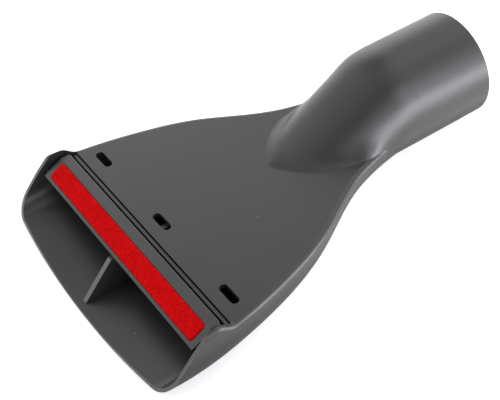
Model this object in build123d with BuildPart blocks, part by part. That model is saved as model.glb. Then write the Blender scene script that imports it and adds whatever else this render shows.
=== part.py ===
# Vacuum upholstery nozzle with a clip-in velvet lint strip. Millimetres, +Z up.
# X runs across the mouth and Y from the mouth to the tube. While it is built, z = 0 is the
# flat plate and y = 0 the plate's front edge; the finished pieces move to the stored frame.
import os
from math import asin, cos, pi, radians, sin, sqrt, tan

from build123d import *

os.makedirs("parts", exist_ok=True)

# Tube that takes the hose end as far as a stop shoulder
tube_bore = 35.0
socket_depth = 25.0
stop_shoulder = 0.5
tube_wall = 2.0
tube_radius = tube_bore / 2 + tube_wall
tube_end = 131.3
tube_level = 2.9
tube_rim_round = 0.6
tube_lead_in = 0.8

# Neck: the tube runs on downwards at this slope and flares out on the plate
neck_slope = 28.0
neck_bend_y = 98.5
neck_bend_radius = 4.0
neck_bore_bend = 20.0
neck_run = 76.0
neck_toe_blend = 5.0
neck_toe_sink = 0.1
neck_under = -3.0
neck_inside = 0.015
# one row for each flared cross-section: y, width of the flare beside the pipe, level and lean
# in degrees of its foot, height of the flare as a share of the pipe's side
flare_rows = [
    (48.2, 1.8, -0.06, 2, 0.5),
    (50.0, 3.0, -0.06, 2, 0.5),
    (52.0, 3.6, -0.06, 2, 0.5),
    (55.0, 3.7, -0.06, 2, 0.5),
    (58.5, 3.9, -0.06, 2, 0.5),
    (62.0, 4.1, -0.06, 2, 0.48),
    (66.0, 4.3, -0.06, 2, 0.44),
    (70.0, 4.4, -0.4, 10, 0.38),
    (74.0, 4.3, -0.9, 26, 0.32),
    (78.0, 3.0, -2.3, 70, 0.26),
    (82.0, 1.3, -2.6, 80, 0.2),
]
# the pipe's own cross-section, no flare
pipe_rows = [86.0, 89.0, 92.0, 95.5]
pipe_share = 0.14
lower_tube_y = 88.0

# Head, one row for each cross-section: y, share of the widening from the tube's radius to the
# mouth's half width, depth, crown, lower corner, side wall, floor
head_wall = 1.6
head_depth = tube_radius - tube_level
mouth_half = 54.4
mouth_depth = head_depth + 0.3
mouth_wall = 1.5
head_rows = [
    (-40.0, 0.985, mouth_depth, 3.4, 6.5, 1.0, 0.3),
    (-24.0, 1.003, mouth_depth, 3.4, 7.0, 1.2, 0.8),
    (-8.0, 1.0, mouth_depth, 3.4, 8.0, mouth_wall, mouth_wall),
    (9.0, 0.926, head_depth + 0.15, 3.4, 9.5, head_wall, head_wall),
    (26.0, 0.791, head_depth, 3.2, 10.5, head_wall, head_wall),
    (43.0, 0.59, head_depth, 3.2, 13.0, head_wall, head_wall),
    (57.0, 0.336, head_depth, 4.2, 13.5, head_wall, head_wall),
    (70.0, 0.134, head_depth + 0.1, 6.5, 14.5, head_wall, head_wall),
    (86.0, -0.004, head_depth + 0.2, 8.0, 16.5, head_wall, head_wall),
    (104.0, -0.083, head_depth - 1.6, 8.0, 14.0, head_wall, head_wall),
]
plate_edge = 2.0

# Mouth: cut at 45 degrees through z = y + mouth_offset; the side walls stand up as ears
mouth_offset = 13.0
mouth_reach = -44.0
ear_top = 3.2
ear_front = -16.0
ear_shoulder = (-11.5, 1.0)
ear_crest = -7.4
ear_back = -6.0
plate_start = 1.4

# Three bleed slots behind the mouth
slot_pitch = 41.5
slot_row = 5.9
slot_length = 9.4
slot_width = 3.0

# Carrier of the strip: it clips in between the mouth's side walls
carrier_gap = 1.8
carrier_half = mouth_half - mouth_wall - carrier_gap

# Seat of the carrier: shelf below the plate, small ridge between two grooves
shelf_half = mouth_half - mouth_wall / 2
shelf_half_back = mouth_half - mouth_wall
step_half = carrier_half + 0.4
groove = 0.45
ridge_width = 1.05
ridge_top = -0.5
ridge_gap = 1.25
shelf_level = -3.6
shelf_thickness = 1.6
shelf_front = -11.6

# Rib across the duct, its front edge at 45 degrees like the mouth
rib_thickness = 2.0
rib_offset = 10.9
rib_top = -3.9
rib_back = 34.0

# Carrier, section in the YZ plane, held by a small peg at each end
carrier_back = -groove - ridge_width - ridge_gap
carrier_top = 1.45
carrier_crest = -6.1
carrier_front = (-13.8, -2.7)
carrier_nose = 1.0
carrier_corner = 1.4
carrier_edge = 0.4
peg_radius = 0.7
peg_reach = 2.5
peg_at = (-11.9, -2.75)
peg_gap = 0.15

# Velvet strip in the sloping face of the carrier
strip_half = carrier_half - 2.5
strip_width = 6.7
strip_offset = 0.75
strip_corner = 1.3
strip_sunk = 0.9
strip_proud = 0.45
strip_gap = 0.15


# Stored frame: origin in the middle of the bottom of the whole nozzle's box
lip_front = -mouth_depth - mouth_offset
to_frame = Location((0, -(tube_end + lip_front) / 2, mouth_depth))

straight_y = neck_bend_y + neck_bend_radius * tan(radians(neck_slope / 2))
# the sloping top line, carried on straight, meets the plate here
corner_y = neck_bend_y - tube_radius * tan(radians(neck_slope / 2))
neck_toe_y = corner_y - (tube_level + tube_radius) / tan(radians(neck_slope))


def head_section(y, half, top, edge, depth, crown, corner):
    """Cross-section of the head: flat top, upright sides, rounded lower corners, crowned floor."""
    meet = half - corner
    meet_z = -depth + crown * (meet / half) ** 2
    side_z = min(meet_z + corner, top - edge - 0.4)
    lean = 2 * crown * meet / half**2
    pull = 0.552 * corner
    drop = 0.552 * (side_z - meet_z)
    with BuildSketch(Plane.XZ.offset(-y)) as section:
        with BuildLine():
            Line((-half + edge, top), (half - edge, top))
            for s in (1, -1):
                ThreePointArc(
                    (s * (half - edge), top),
                    (s * (half - 0.2929 * edge), top - 0.2929 * edge),
                    (s * half, top - edge),
                )
                Line((s * half, top - edge), (s * half, side_z))
                Bezier(
                    (s * half, side_z),
                    (s * half, side_z - drop),
                    (s * (meet + pull), meet_z + lean * pull),
                    (s * meet, meet_z),
                )
            ThreePointArc((meet, meet_z), (0, -depth), (-meet, meet_z))
        make_face()
    return section.sketch


def head_loft(inside, top, edge):
    """Loft through all the head sections: the outer skin, or the skin inside the walls."""
    with BuildPart() as filled:
        loft(
            [
                head_section(
                    y,
                    tube_radius + widening * (mouth_half - tube_radius) - inside * side_wall,
                    top,
                    edge,
                    depth - inside * floor,
                    crown,
                    corner - inside * side_wall / 2,
                )
                for y, widening, depth, crown, corner, side_wall, floor in head_rows
            ]
        )
    return filled.part


def neck_top(y):
    """Height of the neck's top line and its slope angle in radians at this station."""
    bend_top = neck_bend_radius + tube_radius
    from_bend = straight_y - y
    if from_bend <= 0:
        return tube_level + tube_radius, 0.0
    if from_bend < bend_top * sin(radians(neck_slope)):
        drop = bend_top - sqrt(bend_top**2 - from_bend**2)
        return tube_level + tube_radius - drop, asin(from_bend / bend_top)
    rise = tan(radians(neck_slope))
    height = (y - neck_toe_y) * rise
    over = y - (neck_toe_y - neck_toe_blend)
    if over < 2 * neck_toe_blend:
        height = rise * over**2 / (4 * neck_toe_blend)
        height -= neck_toe_sink * (1 - over / (2 * neck_toe_blend)) ** 2
    return height, radians(neck_slope)


def neck_section(y, flare, foot_level, foot_lean, share):
    """Cross-section of the neck: round top whose sides run down to a foot in the plate."""
    top, angle = neck_top(y)
    top -= neck_inside
    wide, high = tube_radius - neck_inside, (tube_radius - neck_inside) / cos(angle)
    middle = top - high
    side_turn = asin(max(-1.0, min(0.995, -middle / high)))
    turn = side_turn + share * (pi / 2 - side_turn)
    # convex part, from the blend point over the top
    blend_point = (wide * cos(turn), middle + high * sin(turn))
    along = (-wide * sin(turn), high * cos(turn))
    reach = 4 / 3 * tan((pi / 2 - turn) / 4)
    if flare > 0:
        foot = (wide * cos(side_turn) + flare, foot_level)
        gap = 0.45 * ((foot[0] - blend_point[0]) ** 2 + (blend_point[1] - foot[1]) ** 2) ** 0.5
        lean = radians(foot_lean)
        foot_pull = (foot[0] - gap * cos(lean), foot[1] + gap * sin(lean))
        size = (along[0] ** 2 + along[1] ** 2) ** 0.5
        blend_pull = (blend_point[0] - gap * along[0] / size, blend_point[1] - gap * along[1] / size)
        base = foot[0]
    else:
        # the foot lies on the pipe itself
        side_turn = asin((foot_level - middle) / high)
        foot = (wide * cos(side_turn), foot_level)
        hold = 4 / 3 * tan((turn - side_turn) / 4)
        foot_pull = (foot[0] - hold * wide * sin(side_turn), foot[1] + hold * high * cos(side_turn))
        blend_pull = (blend_point[0] - hold * along[0], blend_point[1] - hold * along[1])
        base = wide * sqrt(1 - ((neck_under - middle) / high) ** 2)
    with BuildSketch(Plane.XZ.offset(-y)) as section:
        with BuildLine():
            for s in (1, -1):
                Line((s * base, neck_under), (s * foot[0], foot[1]))
                Bezier(
                    (s * foot[0], foot[1]),
                    (s * foot_pull[0], foot_pull[1]),
                    (s * blend_pull[0], blend_pull[1]),
                    (s * blend_point[0], blend_point[1]),
                )
                Bezier(
                    (s * blend_point[0], blend_point[1]),
                    (s * (blend_point[0] + reach * along[0]), blend_point[1] + reach * along[1]),
                    (s * reach * wide, top),
                    (0, top),
                )
            Line((-base, neck_under), (base, neck_under))
        make_face()
    return section.sketch


def pipe_section(y):
    """Cross-section of the neck where it is the plain pipe."""
    return neck_section(y, 0.0, neck_under + 0.4, 90, pipe_share)


def lower_tube(radius, level, end):
    """Underside of the straight tube, running on below the neck."""
    with BuildPart() as lower:
        with BuildSketch(Plane.XZ.offset(-lower_tube_y)):
            with Locations((0, tube_level)):
                Circle(radius)
            with Locations((0, level + 100)):
                Rectangle(200, 200, mode=Mode.SUBTRACT)
        extrude(amount=lower_tube_y - end)
    return lower.part


def neck_pipe(radius, level, end):
    """Bent round pipe from inside the head to the tube end, open below a level in the head."""
    down = radians(neck_slope)
    with BuildPart() as pipe:
        with BuildLine() as path:
            FilletPolyline(
                (0, neck_bend_y - neck_run * cos(down), tube_level - neck_run * sin(down)),
                (0, neck_bend_y, tube_level),
                (0, end, tube_level),
                radius=neck_bore_bend,
            )
        with BuildSketch(Plane(path.line @ 0, x_dir=(1, 0, 0), z_dir=path.line % 0)):
            Circle(radius)
        sweep(path=path.line)
        with Locations((0, straight_y - 100, level - 100)):
            Box(200, 200, 200, mode=Mode.SUBTRACT)
        add(lower_tube(radius, level + 1, end))
    return pipe.part


# Filled outer shape of the head: flat plate with the two ears' ridge in front of it
with BuildPart() as head_solid:
    add(head_loft(0, 6.0, 0.5))
    with BuildSketch(Plane.YZ.offset(-1.5 * mouth_half)):
        with BuildLine():
            Line((mouth_reach, ear_top), (ear_back, ear_top))
            Spline((ear_back, ear_top), (plate_start, 0), tangents=((1, 0), (1, 0)))
            Polyline(
                (plate_start, 0),
                (tube_end, 0),
                (tube_end, tube_end),
                (mouth_reach, tube_end),
                (mouth_reach, ear_top),
            )
        make_face()
    extrude(amount=3 * mouth_half, mode=Mode.SUBTRACT)
    top_edges = [
        e
        for e in head_solid.edges()
        if abs(e.center().X) > 10 and e.bounding_box().min.Z > -1 and e.length > 3 and e.bounding_box().size.Y > 3
    ]
    fillet(top_edges, plate_edge)
    with BuildSketch(Plane.YZ.offset(-1.5 * mouth_half)):
        with BuildLine():
            Line((mouth_reach, mouth_reach + mouth_offset), (ear_front, ear_front + mouth_offset))
            Spline(
                (ear_front, ear_front + mouth_offset),
                ear_shoulder,
                (ear_crest, ear_top + 0.01),
                tangents=((1, 1), (1, 0)),
            )
            Polyline(
                (ear_crest, ear_top + 0.01),
                (ear_crest, tube_end),
                (mouth_reach, tube_end),
                (mouth_reach, mouth_reach + mouth_offset),
            )
        make_face()
    extrude(amount=3 * mouth_half, mode=Mode.SUBTRACT)

# Airway of the head, below the plate and open upwards in front of it
with BuildPart() as airway:
    add(head_loft(1, 8.0, 0.5))
    with Locations((0, 100, 100 - head_wall)):
        Box(200, 200, 200, mode=Mode.SUBTRACT)

# Filled outer shape of neck and tube
with BuildPart() as neck_solid:
    straight_rows = [straight_y, straight_y + 3]
    loft([neck_section(*row) for row in flare_rows] + [pipe_section(y) for y in pipe_rows + straight_rows])
    with BuildSketch(Plane.XZ.offset(-straight_y)):
        with Locations((0, tube_level)):
            Circle(tube_radius)
    extrude(amount=straight_y - tube_end)
    add(lower_tube(tube_radius, neck_under + 0.5, straight_y + 1))

with BuildPart() as nozzle_body:
    add(head_solid.part)
    add(neck_solid.part)
    # airway through head, neck and tube
    add(airway.part, mode=Mode.SUBTRACT)
    add(neck_pipe(tube_bore / 2 - stop_shoulder, neck_under - 0.6, tube_end + 5), mode=Mode.SUBTRACT)
    with BuildSketch(Plane.XZ.offset(socket_depth - tube_end)):
        with Locations((0, tube_level)):
            Circle(tube_bore / 2)
    extrude(amount=-socket_depth - 5, mode=Mode.SUBTRACT)
    # the ears' slope stops at the carrier's ends, the plate between them is flat
    with BuildSketch():
        with Locations((0, plate_start / 2)):
            Rectangle(2 * step_half, plate_start + 0.4)
    extrude(amount=2, mode=Mode.SUBTRACT)
    # shelf and ridge that the carrier sits on, and the step up to the plate
    with BuildSketch(Plane.XY.offset(shelf_level)):
        Polygon(
            (-shelf_half, shelf_front),
            (shelf_half, shelf_front),
            (shelf_half_back, 0.1),
            (-shelf_half_back, 0.1),
            align=None,
        )
    extrude(amount=-shelf_thickness)
    with BuildSketch(Plane.XY.offset(shelf_level - 0.1)):
        with Locations((0, -groove - ridge_width / 2)):
            Rectangle(2 * shelf_half_back, ridge_width)
    extrude(amount=ridge_top - shelf_level + 0.1)
    with BuildSketch(Plane.YZ.offset(-step_half)):
        Polygon(
            (0, shelf_level - shelf_thickness),
            (head_wall, shelf_level - shelf_thickness),
            (head_wall + 3, -head_wall / 2),
            (0, -head_wall / 2),
            align=None,
        )
    extrude(amount=2 * step_half)
    # central rib from the floor up to the shelf and the plate
    with BuildSketch(Plane.YZ.offset(-rib_thickness / 2)):
        rib_foot = -mouth_depth + head_wall / 2
        Polygon(
            (rib_top - rib_offset, rib_top),
            (rib_foot - rib_offset, rib_foot),
            (rib_back, rib_foot),
            (rib_back - 6, -head_wall / 2),
            (1, -head_wall / 2),
            (1, rib_top),
            align=None,
        )
    extrude(amount=rib_thickness)
    # bleed slots
    with BuildSketch(Plane.XY.offset(-head_wall - 1)):
        with GridLocations(slot_pitch, 1, 3, 1):
            with Locations((0, slot_row)):
                SlotOverall(slot_length, slot_width)
    extrude(amount=head_wall + 2, mode=Mode.SUBTRACT)
    # blind holes for the carrier's end pegs
    for side in (1, -1):
        with BuildSketch(Plane.YZ.offset(side * (carrier_half - 1))):
            with Locations(peg_at):
                Circle(peg_radius + peg_gap)
        extrude(amount=side * (1 + peg_reach + peg_gap), mode=Mode.SUBTRACT)
    # tube end: outside edge rounded, bore eased
    end_edges = [e for e in nozzle_body.edges() if abs(e.center().Y - tube_end) < 0.01 and e.length > 2 * tube_bore]
    outer_rim = max(end_edges, key=lambda e: e.length)
    inner_rim = min(end_edges, key=lambda e: e.length)
    fillet(outer_rim, tube_rim_round)
    chamfer(inner_rim, tube_lead_in)

nozzle_body.part.move(to_frame)
nozzle_body.part.label = "nozzle_body"
export_step(nozzle_body.part, "parts/nozzle_body.step")

# Sloping face of the carrier: plane through its crest, strip centred across the slope
slope_rise = carrier_top - carrier_front[1]
slope_run = carrier_crest - carrier_front[0]
slope_length = (slope_rise**2 + slope_run**2) ** 0.5
slope_out = (0, -slope_rise / slope_length, slope_run / slope_length)
strip_middle = strip_offset + strip_width / 2
strip_plane = Plane(
    origin=(
        0,
        carrier_crest - strip_middle * slope_run / slope_length,
        carrier_top - strip_middle * slope_rise / slope_length,
    ),
    x_dir=(1, 0, 0),
    z_dir=slope_out,
)

with BuildPart() as strip_carrier:
    with BuildSketch(Plane.YZ.offset(-carrier_half)):
        Polygon(
            (carrier_back, shelf_level),
            (carrier_back, carrier_top),
            (carrier_crest, carrier_top),
            carrier_front,
            (carrier_front[0] + 0.5 * carrier_nose, carrier_front[1] - 0.9 * carrier_nose),
            align=None,
        )
    extrude(amount=2 * carrier_half)
    back_corners = [
        e
        for e in strip_carrier.edges().filter_by(Axis.Z)
        if abs(e.center().Y - carrier_back) < 0.01
    ]
    fillet(back_corners, carrier_corner)
    back_edge = [
        e
        for e in strip_carrier.edges()
        if abs(e.center().Z - carrier_top) < 0.01 and abs(e.center().Y - carrier_back) < 0.01
    ]
    fillet(back_edge, carrier_edge)
    with BuildSketch(strip_plane):
        RectangleRounded(
            2 * (strip_half + strip_gap), strip_width + 2 * strip_gap, strip_corner + strip_gap
        )
    extrude(amount=-strip_sunk, mode=Mode.SUBTRACT)
    for side in (1, -1):
        with BuildSketch(Plane.YZ.offset(side * (carrier_half - 0.5))):
            with Locations(peg_at):
                Circle(peg_radius)
        extrude(amount=side * (0.5 + peg_reach))

strip_carrier.part.move(to_frame)
strip_carrier.part.label = "strip_carrier"
export_step(strip_carrier.part, "parts/strip_carrier.step")

with BuildPart() as lint_strip:
    with BuildSketch(strip_plane.offset(-strip_sunk)):
        RectangleRounded(2 * strip_half, strip_width, strip_corner)
    extrude(amount=strip_sunk + strip_proud)

lint_strip.part.move(to_frame)
lint_strip.part.label = "lint_strip"
export_step(lint_strip.part, "parts/lint_strip.step")
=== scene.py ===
import math

import bpy
from mathutils import Matrix, Vector, noise


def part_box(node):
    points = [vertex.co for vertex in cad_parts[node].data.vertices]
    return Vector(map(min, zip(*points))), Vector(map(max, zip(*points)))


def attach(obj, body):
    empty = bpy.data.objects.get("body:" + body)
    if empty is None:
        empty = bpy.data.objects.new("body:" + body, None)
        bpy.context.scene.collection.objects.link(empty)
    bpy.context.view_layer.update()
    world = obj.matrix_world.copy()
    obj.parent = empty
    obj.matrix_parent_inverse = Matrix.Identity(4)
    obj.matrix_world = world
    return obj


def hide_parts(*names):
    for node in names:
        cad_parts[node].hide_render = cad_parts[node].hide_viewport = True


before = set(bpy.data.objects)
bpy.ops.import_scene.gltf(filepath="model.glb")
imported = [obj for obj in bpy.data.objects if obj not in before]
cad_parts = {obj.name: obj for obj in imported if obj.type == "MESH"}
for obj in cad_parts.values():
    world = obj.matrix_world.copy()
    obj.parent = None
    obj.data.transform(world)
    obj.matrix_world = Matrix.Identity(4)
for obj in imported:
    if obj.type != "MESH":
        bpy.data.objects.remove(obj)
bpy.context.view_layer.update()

MM = 0.001

# Front edge of the plate in the stored frame, mm: the strip and the camera were measured from it
PLATE_EDGE = (0.0, -50.7, 16.9)

# Half the floor's side in metres, and the range that most of Blender's noise keeps to
FLOOR_REACH = 4
NOISE_LOW, NOISE_HIGH = 0.3, 0.7

# Plastic
SHELL_TONE = 0.018
BAR_TONE = 0.020
PLASTIC_ROUGHNESS = 0.36
ROUGHNESS_SWING = 0.035
TONE_SWING = 0.06

# Dust specks: one cell in fourteen has one; the radius is in cells, of which 210 go to the metre
SPECK_TONE = 0.24
SPECK_CELLS = 210.0
SPECK_RADIUS = 0.045
SPECK_RARITY = 0.93

# Coarser finish: where it starts and where it is full, by height in metres and by how far a face looks up
COARSE_EXTRA = 0.35
COARSE_START_HEIGHT, COARSE_FULL_HEIGHT = 0.0165, 0.0115
COARSE_START_FACING, COARSE_FULL_FACING = 0.5, 0.2

# Velvet strip, mm. The carrier's sloping face runs from foot to top, as (y, z) from the plate's edge.
FACE_FOOT, FACE_TOP = (-13.8, -2.7), (-6.1, 1.45)
STRIP_WIDTH = 6.7
STRIP_CORNER = 1.3
STRIP_SUNK = 0.9
STRIP_PROUD = 0.45
PILE_STEP = 0.20
PILE_TOP = 0.40
PILE_SHOULDER = 0.45
PILE_TUFTS = 0.10
PILE_WAVES = 0.04
PILE_LIFT = 0.03

# Shares: of the relief left at the strip's edge, of its outline at the skirt's foot, of slow noise in its red
PILE_EDGE_SHARE = 0.35
SKIRT_SHARE = 0.999
LEAN_SHARE = 0.15

# Camera, solved from the photo: place in mm from the plate's edge, directions in the stored frame
CAMERA_AT = (250.56, -90.11, 245.73)
CAMERA_VIEW = (-0.65730, 0.33993, -0.67261)
CAMERA_UP = (-0.51843, 0.44382, 0.73093)
CAMERA_LENS, CAMERA_SENSOR = 79.2, 36.0

# Light tints, and the studio's soft lobes: azimuth and elevation in degrees, tightness, strength, tint
COOL, PLAIN, WARM = (0.985, 0.985, 1.05), (1.0, 1.0, 1.0), (1.0, 1.02, 0.98)
LOBES = [
    (15, 7, 30, 1.9, COOL),
    (35, 7, 30, 2.0, COOL),
    (60, 7, 30, 2.0, COOL),
    (-12, 24, 30, 2.0, COOL),
    (35, 24, 30, 2.0, COOL),
    (60, 24, 30, 2.0, COOL),
    (18, 36, 35, 2.9, COOL),
    (135, 8, 30, 1.9, PLAIN),
    (158, 8, 30, 1.55, PLAIN),
    (180, 8, 30, 1.35, PLAIN),
    (115, 30, 20, 2.0, PLAIN),
    (160, 30, 20, 2.0, PLAIN),
    (-145, 8, 30, 2.0, WARM),
    (-125, 8, 30, 2.0, WARM),
    (-134, 18, 40, 2.0, WARM),
    (-160, 28, 25, 1.05, WARM),
    (-146, 50, 20, 1.4, WARM),
    (90, 58, 10, 1.7, PLAIN),
    (-90, 58, 10, 1.1, PLAIN),
    (0, 90, 10, 0.45, PLAIN),
]


# Nodes

def add(tree, kind, inputs, **settings):
    """A new node; each input, by name or number, is a plain value or another node's socket."""
    node = tree.nodes.new("ShaderNode" + kind)
    for name, value in settings.items():
        setattr(node, name, value)
    for key, value in inputs.items():
        if isinstance(value, bpy.types.NodeSocket):
            tree.links.new(value, node.inputs[key])
        else:
            node.inputs[key].default_value = value
    return node


def maths(tree, operation, *values):
    """Output of a Math node; each value is a number or a socket."""
    return add(tree, "Math", dict(enumerate(values)), operation=operation).outputs[0]


def cloudy(tree, place, scale, detail=2.0, rough=0.5):
    """Soft noise, mostly between NOISE_LOW and NOISE_HIGH."""
    inputs = {"Vector": place, "Scale": scale, "Detail": detail, "Roughness": rough}
    return add(tree, "TexNoise", inputs).outputs["Fac"]


def ranged(tree, value, start, stop, low=0.0, high=1.0):
    """Low where the value is at start, high where it is at stop."""
    inputs = {"Value": value, "From Min": start, "From Max": stop, "To Min": low, "To Max": high}
    return add(tree, "MapRange", inputs).outputs["Result"]


def ramped(tree, value, stops):
    """Colour by value, from (value, colour) stops, lowest first."""
    node = add(tree, "ValToRGB", {"Fac": value})
    elements = node.color_ramp.elements
    elements[0].position, elements[0].color = stops[0]
    elements[1].position, elements[1].color = stops[-1]
    for place, colour in stops[1:-1]:
        elements.new(place).color = colour
    return node.outputs["Color"]


def bumped(tree, height, strength, distance, below=None):
    """Normal with this bump, on top of the one below."""
    inputs = {"Height": height, "Strength": strength, "Distance": distance}
    if below is not None:
        inputs["Normal"] = below
    return add(tree, "Bump", inputs).outputs["Normal"]


# Materials

def new_material(name):
    mat = bpy.data.materials.new(name)
    mat.use_nodes = True
    mat.node_tree.nodes.clear()
    return mat, mat.node_tree


def finish_material(tree, inputs):
    """The shader with these inputs, and the material's output."""
    shader = add(tree, "BsdfPrincipled", inputs)
    add(tree, "OutputMaterial", {"Surface": shader.outputs["BSDF"]})


def grey(value, warm=0.0):
    return (value * (1 + warm), value, value * (1 - warm), 1.0)


def specked(tree, place, colour):
    """The colour with sparse pale dust specks, up to 0.4 mm across."""
    cells = add(tree, "TexVoronoi", {"Vector": place, "Scale": SPECK_CELLS})
    draw = add(tree, "SeparateColor", {"Color": cells.outputs["Color"]}).outputs["Red"]
    inside = maths(tree, "LESS_THAN", cells.outputs["Distance"], SPECK_RADIUS)
    rare = maths(tree, "GREATER_THAN", draw, SPECK_RARITY)
    inputs = {"Factor": maths(tree, "MULTIPLY", inside, rare), "A": colour, "B": grey(SPECK_TONE, 0.02)}
    return add(tree, "Mix", inputs, data_type="RGBA").outputs["Result"]


def coarsened(tree, coords, rough):
    """The outer walls below the plate's level have the coarser finish of the mould's lower half."""
    height = add(tree, "SeparateXYZ", {0: coords.outputs["Object"]}).outputs["Z"]
    facing = add(tree, "SeparateXYZ", {0: coords.outputs["Normal"]}).outputs["Z"]
    low = ranged(tree, height, COARSE_START_HEIGHT, COARSE_FULL_HEIGHT)
    upright = ranged(tree, facing, COARSE_START_FACING, COARSE_FULL_FACING)
    return maths(tree, "MULTIPLY_ADD", maths(tree, "MULTIPLY", low, upright), COARSE_EXTRA, rough)


def plastic(name, tone, dust=False, coarse=False):
    """Satin moulded plastic: faint cloudy colour, fine spark-eroded grain and a slow ripple."""
    mat, tree = new_material(name)
    coords = add(tree, "TexCoord", {})
    place = coords.outputs["Object"]

    dark, light = grey(tone * (1 - TONE_SWING)), grey(tone * (1 + TONE_SWING), 0.01)
    cloud = cloudy(tree, place, scale=28.0, detail=3.0)
    colour = ramped(tree, cloud, [(NOISE_LOW, dark), (NOISE_HIGH, light)])
    if dust:
        colour = specked(tree, place, colour)

    smooth, dull = PLASTIC_ROUGHNESS - ROUGHNESS_SWING, PLASTIC_ROUGHNESS + ROUGHNESS_SWING
    patch = cloudy(tree, place, scale=60.0, detail=3.0)
    rough = ranged(tree, patch, NOISE_LOW, NOISE_HIGH, smooth, dull)
    if coarse:
        rough = coarsened(tree, coords, rough)

    fine = cloudy(tree, place, scale=2600.0)
    slow = cloudy(tree, place, scale=55.0, detail=1.0)
    grain = bumped(tree, fine, strength=0.05, distance=0.0002)
    ripple = bumped(tree, slow, strength=0.10, distance=0.0006, below=grain)
    finish_material(
        tree,
        {"Base Color": colour, "Roughness": rough, "Normal": ripple, "Specular IOR Level": 0.5, "IOR": 1.5},
    )
    return mat


def velvet(name):
    """Short red pile: speckled by the tufts' lean, with a soft red sheen."""
    mat, tree = new_material(name)
    place = add(tree, "TexCoord", {}).outputs["Object"]
    tuft = cloudy(tree, place, scale=1700.0, rough=0.6)
    lean = maths(tree, "MULTIPLY", cloudy(tree, place, scale=160.0), LEAN_SHARE)
    colour = ramped(
        tree,
        maths(tree, "MULTIPLY_ADD", tuft, 1 - LEAN_SHARE, lean),
        [
            (0.36, (0.40, 0.0004, 0.001, 1)),
            (0.5, (0.54, 0.0005, 0.0015, 1)),
            (0.64, (0.68, 0.002, 0.004, 1)),
        ],
    )
    finish_material(
        tree,
        {
            "Base Color": colour,
            "Normal": bumped(tree, tuft, strength=0.6, distance=0.0003),
            "Roughness": 0.9,
            "Specular IOR Level": 0.06,
            "Sheen Weight": 0.4,
            "Sheen Roughness": 0.4,
            "Sheen Tint": (1.0, 0.03, 0.035, 1.0),
        },
    )
    return mat


def floor_paper(name):
    """White paper that glows a little, so that the background comes out as white as the photo's."""
    mat, tree = new_material(name)
    finish_material(
        tree,
        {
            "Base Color": (0.92, 0.92, 0.925, 1),
            "Roughness": 0.8,
            "Specular IOR Level": 0.2,
            "Emission Color": (1.0, 1.0, 1.0, 1),
            "Emission Strength": 0.47,
        },
    )
    return mat


def wear(node, mat):
    materials = bpy.data.objects[node].data.materials
    materials.clear()
    materials.append(mat)


wear("nozzle_body", plastic("shell_plastic", SHELL_TONE, dust=True, coarse=True))
wear("strip_carrier", plastic("bar_plastic", BAR_TONE))


# Velvet strip. It lies in the carrier's sloping face: its place follows from the node's own box.

half_width = STRIP_WIDTH / 2 * MM
slope = math.atan2(FACE_TOP[1] - FACE_FOOT[1], FACE_TOP[0] - FACE_FOOT[0])
low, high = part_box("lint_strip")
half_length = (high[0] - low[0]) / 2
across = Vector((0, -math.cos(slope), -math.sin(slope)))
outward = Vector((0, -math.sin(slope), math.cos(slope)))
centre = (Vector(low) + Vector(high)) / 2
# the strip's middle, at the level of the pocket's rim
middle = centre + outward * ((STRIP_SUNK - STRIP_PROUD) * MM / 2)


def pile_height(u, v, edge):
    """Height of the pile over the pocket's rim, lower and rounder towards the strip's edge."""
    # noise scales are per mm, and the offsets keep the layers apart
    p = Vector((u / MM, v / MM, 0.0))
    tuft = noise.noise(p * 2.2) * PILE_TUFTS + noise.noise(p * 4.7 + Vector((7.0, 3.0, 1.0))) * PILE_TUFTS
    wave = noise.noise(p * 0.5 + Vector((2.0, 9.0, 4.0))) * PILE_WAVES
    fall = min(1.0, edge / (PILE_SHOULDER * MM))
    shoulder = math.sqrt(max(0.0, 1 - (1 - fall) ** 2))
    relief = (tuft + wave) * (PILE_EDGE_SHARE + (1 - PILE_EDGE_SHARE) * fall)
    return (PILE_TOP * shoulder + relief) * MM + PILE_LIFT * MM


def on_outline(u, v):
    """The grid point squeezed on to the strip's rounded outline, and its distance from the edge."""
    corner = STRIP_CORNER * MM
    du, dv = abs(u) - (half_length - corner), abs(v) - (half_width - corner)
    if du <= 0 or dv <= 0:
        return u, v, min(half_length - abs(u), half_width - abs(v))
    square = max(du, dv)
    factor = square / math.hypot(du, dv)
    u = math.copysign(half_length - corner + du * factor, u)
    v = math.copysign(half_width - corner + dv * factor, v)
    return u, v, corner - square


def make_pile(name):
    columns = int(2 * half_length / (PILE_STEP * MM))
    rows = int(2 * half_width / (PILE_STEP * MM))
    wide = columns + 1
    verts, faces = [], []
    for j in range(rows + 1):
        for i in range(wide):
            u, v, edge = on_outline(
                -half_length + 2 * half_length * i / columns,
                -half_width + 2 * half_width * j / rows,
            )
            verts.append(middle + Vector((u, 0, 0)) + across * v + outward * pile_height(u, v, edge))
            if i and j:
                a = j * wide + i
                faces.append((a, a - 1, a - wide - 1, a - wide))

    # skirt from the pile's edge to just above the pocket's bottom, closed by one face
    rim = (
        list(range(wide))
        + [j * wide + columns for j in range(1, rows + 1)]
        + [rows * wide + i for i in range(columns - 1, -1, -1)]
        + [j * wide for j in range(rows - 1, 0, -1)]
    )
    base, count = len(verts), len(rim)
    for k in rim:
        p = verts[k] - middle
        flat = p - outward * p.dot(outward)
        verts.append(middle + flat * SKIRT_SHARE - outward * (STRIP_SUNK * MM - PILE_LIFT * MM))
    for k in range(count):
        after = (k + 1) % count
        faces.append((rim[k], rim[after], base + after, base + k))
    faces.append(tuple(base + k for k in reversed(range(count))))

    mesh = bpy.data.meshes.new(name)
    mesh.from_pydata(verts, [], faces)
    mesh.update()
    for poly in mesh.polygons:
        poly.use_smooth = True
    obj = bpy.data.objects.new(name, mesh)
    bpy.context.collection.objects.link(obj)
    return obj


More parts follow.
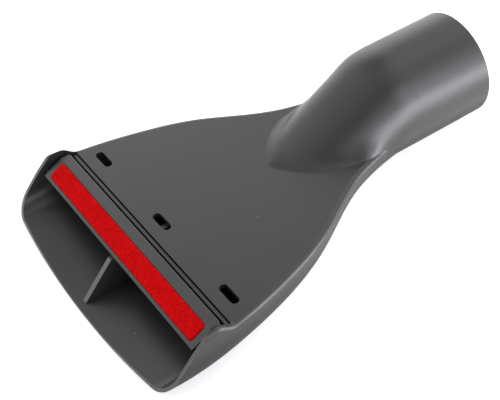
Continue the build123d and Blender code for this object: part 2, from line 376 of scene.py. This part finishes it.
pile = make_pile("velvet_pile")
pile.data.materials.append(velvet("pile_velvet"))
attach(pile, "root")
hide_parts("lint_strip")


# Floor, light and camera

floor_corners = [(x * FLOOR_REACH, y * FLOOR_REACH, 0) for x, y in ((-1, -1), (1, -1), (1, 1), (-1, 1))]
floor_mesh = bpy.data.meshes.new("floor")
floor_mesh.from_pydata(floor_corners, [], [(0, 1, 2, 3)])
floor_mesh.materials.append(floor_paper("floor_paper"))
floor = bpy.data.objects.new("floor", floor_mesh)
floor.location.z = -0.1 * MM
bpy.context.collection.objects.link(floor)


def sky(tree, lobes):
    """Lights the world by the sum of the lobes."""
    direction = add(tree, "TexCoord", {}).outputs["Generated"]
    total = None
    for azimuth, elevation, tightness, strength, tint in lobes:
        turn, lift = math.radians(azimuth), math.radians(elevation)
        towards = (math.cos(lift) * math.cos(turn), math.cos(lift) * math.sin(turn), math.sin(lift))
        dot = add(tree, "VectorMath", {0: direction, 1: towards}, operation="DOT_PRODUCT")
        facing = maths(tree, "MAXIMUM", dot.outputs["Value"], 0.0)
        inputs = {0: tuple(strength * c for c in tint), "Scale": maths(tree, "POWER", facing, tightness)}
        lobe = add(tree, "VectorMath", inputs, operation="SCALE").outputs["Vector"]
        if total is None:
            total = lobe
        else:
            total = add(tree, "VectorMath", {0: total, 1: lobe}, operation="ADD").outputs["Vector"]
    tree.links.new(total, tree.nodes["Background"].inputs["Color"])


world = bpy.data.worlds.new("studio")
world.use_nodes = True
world.node_tree.nodes["Background"].inputs["Strength"].default_value = 1.0
sky(world.node_tree, LOBES)
bpy.context.scene.world = world
bpy.context.scene.view_settings.view_transform = "Standard"

# low softbox beside the tube, standing on the floor to the right of the picture; metres and watts
panel_light = bpy.data.lights.new("side_panel", "AREA")
panel_light.shape = "RECTANGLE"
panel_light.size = 0.210
panel_light.size_y = 0.045
panel_light.energy = 0.250
panel_light.color = (0.95, 0.95, 1.0)
panel = bpy.data.objects.new("side_panel", panel_light)
panel.location = (0.125, 0.105, 0.0235)
panel.rotation_euler = (math.radians(90), 0, math.radians(90))
bpy.context.collection.objects.link(panel)

camera_data = bpy.data.cameras.new("camera")
camera_data.lens = CAMERA_LENS
camera_data.sensor_width = CAMERA_SENSOR
camera_data.clip_start = 0.01
camera_data.clip_end = 20.0
camera = bpy.data.objects.new("camera", camera_data)
forward = Vector(CAMERA_VIEW).normalized()
right = forward.cross(Vector(CAMERA_UP)).normalized()
up = right.cross(forward)
camera.location = Vector([a + b for a, b in zip(CAMERA_AT, PLATE_EDGE)]) * MM
camera.rotation_mode = "QUATERNION"
camera.rotation_quaternion = Matrix((right, up, -forward)).transposed().to_quaternion()
bpy.context.collection.objects.link(camera)
bpy.context.scene.camera = camera
